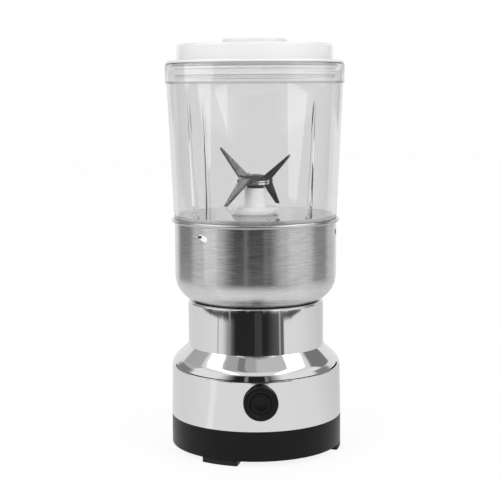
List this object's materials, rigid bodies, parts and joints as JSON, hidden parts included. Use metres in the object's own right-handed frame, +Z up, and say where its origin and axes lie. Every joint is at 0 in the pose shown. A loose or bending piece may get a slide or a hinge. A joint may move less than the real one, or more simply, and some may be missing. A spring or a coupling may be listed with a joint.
{
  "type": "electric coffee grinder",
  "caption": "Electric coffee grinder: chrome motor base with a push button and steel bowl, holding a clear cup with a cross blade and a white lid.",
  "frame": {"origin": "on the vertical axis, in the plane of the feet's undersides", "axes": "+Z up along the axis, -Y out of the button, +X to the right when facing the button"},
  "size_m": [0.1036, 0.1094, 0.2387],
  "materials": {
    "black_plastic": "moulded, slightly glossy",
    "grey_plastic": "moulded, matt",
    "rubber": "soft, matt",
    "chrome": "polished",
    "brushed_steel": "brushed around",
    "blade_steel": "ground",
    "zinc_steel": "zinc plated",
    "lamination": "stacked sheet",
    "copper": "enamelled wire and bars",
    "bronze": "sintered",
    "brass": "stamped",
    "carbon": "pressed carbon",
    "clear_plastic": "clear, polished",
    "frosted_plastic": "clear, slightly milky",
    "white_plastic": "moulded, satin gloss",
    "fan_plastic": "moulded",
    "silicone": "translucent ring",
    "lead_insulation": "sleeving"
  },
  "bodies": {
    "base": {"feet": "rubber", "base_pan": "black_plastic", "base_screws": "zinc_steel", "cord_inlet": "rubber", "body_shell": "chrome", "steel_bowl": "brushed_steel", "bowl_gasket": "rubber", "bowl_screws": "zinc_steel", "shaft_seal": "rubber", "motor_frame": "grey_plastic", "top_bracket": "zinc_steel", "bottom_bracket": "zinc_steel", "motor_bolts": "zinc_steel", "motor_spacers": "zinc_steel", "stator_core": "lamination", "field_coils": "copper", "top_bush": "bronze", "bottom_bush": "bronze", "brush_holders": "brass", "carbon_brushes": "carbon", "brush_springs": "zinc_steel", "lead_wires": "lead_insulation", "switch_bezel": "black_plastic", "switch_nut": "grey_plastic", "switch_body": "grey_plastic", "switch_contacts": "brass", "button_spring": "zinc_steel"},
    "button": {"button_cap": "black_plastic", "contact_bridge": "brass"},
    "rotor": {"motor_shaft": "zinc_steel", "armature_core": "lamination", "armature_winding": "copper", "commutator": "copper", "cooling_fan": "fan_plastic", "drive_coupling": "grey_plastic"},
    "seat": {"seat_ring": "rubber"},
    "cup": {"cup": "clear_plastic", "floor_seal": "silicone", "blade_housing": "frosted_plastic", "housing_nut": "white_plastic", "blade_bushes": "bronze"},
    "blades": {"blade_shaft": "blade_steel", "driven_coupling": "grey_plastic", "blade_seal": "rubber", "blade_washers": "chrome", "lower_blade": "blade_steel", "upper_blade": "blade_steel", "blade_nut": "zinc_steel"},
    "lid": {"lid": "white_plastic", "lid_gasket": "silicone"}
  },
  "joints": [
    {"name": "motor_spin", "type": "hinge", "parent": "base", "child": "rotor", "pos_m": [0, 0, 0.05], "axis": [0, 0, 1], "continuous": true},
    {"name": "button_press", "type": "slide", "parent": "base", "child": "button", "axis": [0, 1, 0], "range_m": [0, 0.0025], "stiffness_N_per_m": 1200, "springref_m": -0.003, "deforming": ["button_spring"]},
    {"name": "cup_twist", "type": "hinge", "parent": "base", "child": "seat", "pos_m": [0, 0, 0.1], "axis": [0, 0, -1], "range_deg": [0, 20]},
    {"name": "cup_lift", "type": "slide", "parent": "seat", "child": "cup", "axis": [0, 0, 1], "range_m": [0, 0.09]},
    {"name": "blade_spin", "type": "hinge", "parent": "cup", "child": "blades", "pos_m": [0, 0, 0.15], "axis": [0, 0, 1], "continuous": true},
    {"name": "lid_lift", "type": "slide", "parent": "cup", "child": "lid", "axis": [0, 0, 1], "range_m": [0, 0.045]}
  ],
  "couplings": [
    {"joint": "blade_spin", "follows": "motor_spin", "ratio": 1}
  ]
}
